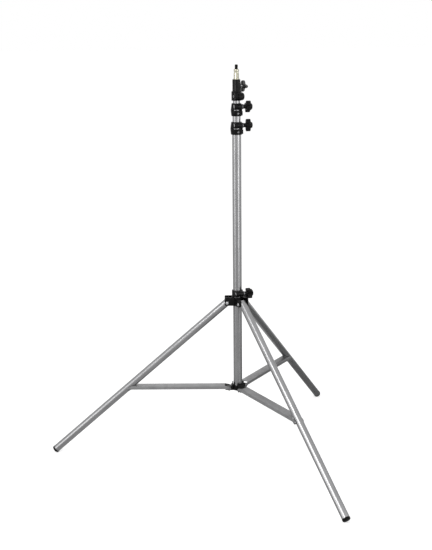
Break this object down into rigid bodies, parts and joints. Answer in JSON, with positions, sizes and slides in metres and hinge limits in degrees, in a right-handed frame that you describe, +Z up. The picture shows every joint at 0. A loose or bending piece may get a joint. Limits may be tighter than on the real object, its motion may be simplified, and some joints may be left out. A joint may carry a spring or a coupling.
{
  "type": "flash stand",
  "caption": "Telescoping flash stand: aluminium column and risers on three folding braced legs, black clamps with star knobs, brass spigot on top.",
  "frame": {"origin": "on the floor, at the middle of the footprint's bounding box", "axes": "+Z up along the column; one leg points along -X, the other two lie 60 degrees either side of +X"},
  "size_m": [0.9267, 1.0662, 1.2563],
  "materials": {
    "tube": "satin anodised",
    "brace": "satin, plated",
    "casting": "glossy black coat on a casting",
    "knob": "glossy moulding",
    "plastic": "matte moulding",
    "foot": "matte moulding",
    "steel": "bright zinc",
    "rivet": "plated",
    "brass": "turned, nickel tint",
    "thread": "black"
  },
  "bodies": {
    "column": {"base_column": "tube", "column_end_plug": "plastic", "brace_hub": "casting", "column_clamp": "casting", "column_clamp_screw": "steel", "column_clamp_bolt": "steel", "column_clamp_washer": "steel"},
    "column_knob": {"column_clamp_knob": "knob", "column_clamp_knob_insert": "steel"},
    "riser_1_slider": {"riser_1_guide": "plastic"},
    "riser_1": {"riser_1_tube": "tube", "riser_clamp": "casting", "riser_clamp_screw": "steel", "riser_clamp_bolt": "steel", "riser_clamp_washer": "steel"},
    "riser_knob": {"riser_clamp_knob": "knob", "riser_clamp_knob_insert": "steel"},
    "riser_2_slider": {"riser_2_guide": "plastic"},
    "riser_2": {"riser_2_tube": "tube", "top_socket": "casting", "top_socket_bolt": "steel"},
    "spigot_body": {"spigot": "brass", "spigot_tip": "thread"},
    "spigot_knob_body": {"spigot_screw": "steel", "spigot_knob_collar": "steel", "spigot_knob": "knob"},
    "collar": {"leg_collar": "casting", "leg_collar_bolt": "steel", "leg_collar_washer": "steel", "leg_pivot_head_1_left": "rivet", "leg_pivot_head_1_right": "rivet", "leg_pivot_head_2_left": "rivet", "leg_pivot_head_2_right": "rivet", "leg_pivot_head_3_left": "rivet", "leg_pivot_head_3_right": "rivet"},
    "collar_knob": {"leg_collar_knob": "knob", "leg_collar_knob_insert": "steel"},
    "brace_body_1": {"brace_1": "brace", "hub_rivet_1": "rivet", "brace_rivet_1": "rivet"},
    "leg_body_1": {"leg_tube_1": "tube", "foot_1": "foot", "leg_pivot_pin_1": "rivet"},
    "brace_body_2": {"brace_2": "brace", "hub_rivet_2": "rivet", "brace_rivet_2": "rivet"},
    "leg_body_2": {"leg_tube_2": "tube", "foot_2": "foot", "leg_pivot_pin_2": "rivet"},
    "brace_body_3": {"brace_3": "brace", "hub_rivet_3": "rivet", "brace_rivet_3": "rivet"},
    "leg_body_3": {"leg_tube_3": "tube", "foot_3": "foot", "leg_pivot_pin_3": "rivet"}
  },
  "joints": [
    {"name": "collar_slide", "type": "slide", "parent": "column", "child": "collar", "axis": [0, 0, 1], "range_m": [0, 0.47093]},
    {"name": "brace_1_turn", "type": "hinge", "parent": "column", "child": "brace_body_1", "pos_m": [0.12076, 0, 0.22159], "axis": [0, 1, 0], "range_deg": [0, 87.35]},
    {"name": "leg_1_turn", "type": "hinge", "parent": "brace_body_1", "child": "leg_body_1", "pos_m": [-0.20614, 0, 0.22159], "axis": [0, -1, 0], "range_deg": [0, 134.1]},
    {"name": "brace_2_turn", "type": "hinge", "parent": "column", "child": "brace_body_2", "pos_m": [0.16426, -0.02511, 0.22159], "axis": [-0.866, -0.5, 0], "range_deg": [0, 87.35]},
    {"name": "leg_2_turn", "type": "hinge", "parent": "brace_body_2", "child": "leg_body_2", "pos_m": [0.32772, -0.30823, 0.22159], "axis": [0.866, 0.5, 0], "range_deg": [0, 134.1]},
    {"name": "brace_3_turn", "type": "hinge", "parent": "column", "child": "brace_body_3", "pos_m": [0.16426, 0.02511, 0.22159], "axis": [0.866, -0.5, 0], "range_deg": [0, 87.35]},
    {"name": "leg_3_turn", "type": "hinge", "parent": "brace_body_3", "child": "leg_body_3", "pos_m": [0.32772, 0.30823, 0.22159], "axis": [-0.866, 0.5, 0], "range_deg": [0, 134.1]},
    {"name": "riser_1_lift", "type": "slide", "parent": "column", "child": "riser_1_slider", "axis": [0, 0, 1], "range_m": [0, 0.7]},
    {"name": "riser_1_turn", "type": "hinge", "parent": "riser_1_slider", "child": "riser_1", "pos_m": [0.14976, 0, 0], "axis": [0, 0, 1], "continuous": true},
    {"name": "riser_2_lift", "type": "slide", "parent": "riser_1", "child": "riser_2_slider", "axis": [0, 0, 1], "range_m": [0, 0.7]},
    {"name": "riser_2_turn", "type": "hinge", "parent": "riser_2_slider", "child": "riser_2", "pos_m": [0.14976, 0, 0], "axis": [0, 0, 1], "continuous": true},
    {"name": "spigot_lift", "type": "slide", "parent": "riser_2", "child": "spigot_body", "axis": [0, 0, 1], "range_m": [0, 0.028]},
    {"name": "column_knob_turn", "type": "hinge", "parent": "column", "child": "column_knob", "pos_m": [0.15419, -0.01776, 1.07339], "axis": [0.9703, 0.2419, 0], "range_deg": [0, 540]},
    {"name": "riser_knob_turn", "type": "hinge", "parent": "riser_1", "child": "riser_knob", "pos_m": [0.15383, -0.0163, 1.12999], "axis": [0.9703, 0.2419, 0], "range_deg": [0, 540]},
    {"name": "collar_knob_turn", "type": "hinge", "parent": "collar", "child": "collar_knob", "pos_m": [0.15588, -0.01883, 0.5411], "axis": [0.9511, 0.309, 0], "range_deg": [0, 540]},
    {"name": "spigot_knob_turn", "type": "hinge", "parent": "riser_2", "child": "spigot_knob_body", "pos_m": [0.14976, 0, 1.18979], "axis": [0.6428, 0.766, 0], "range_deg": [0, 540]}
  ],
  "couplings": [
    {"joint": "brace_1_turn", "follows": "collar_slide", "rad_per_m": 3.2373},
    {"joint": "leg_1_turn", "follows": "collar_slide", "rad_per_m": 4.9699},
    {"joint": "brace_2_turn", "follows": "collar_slide", "rad_per_m": 3.2373},
    {"joint": "leg_2_turn", "follows": "collar_slide", "rad_per_m": 4.9699},
    {"joint": "brace_3_turn", "follows": "collar_slide", "rad_per_m": 3.2373},
    {"joint": "leg_3_turn", "follows": "collar_slide", "rad_per_m": 4.9699}
  ]
}
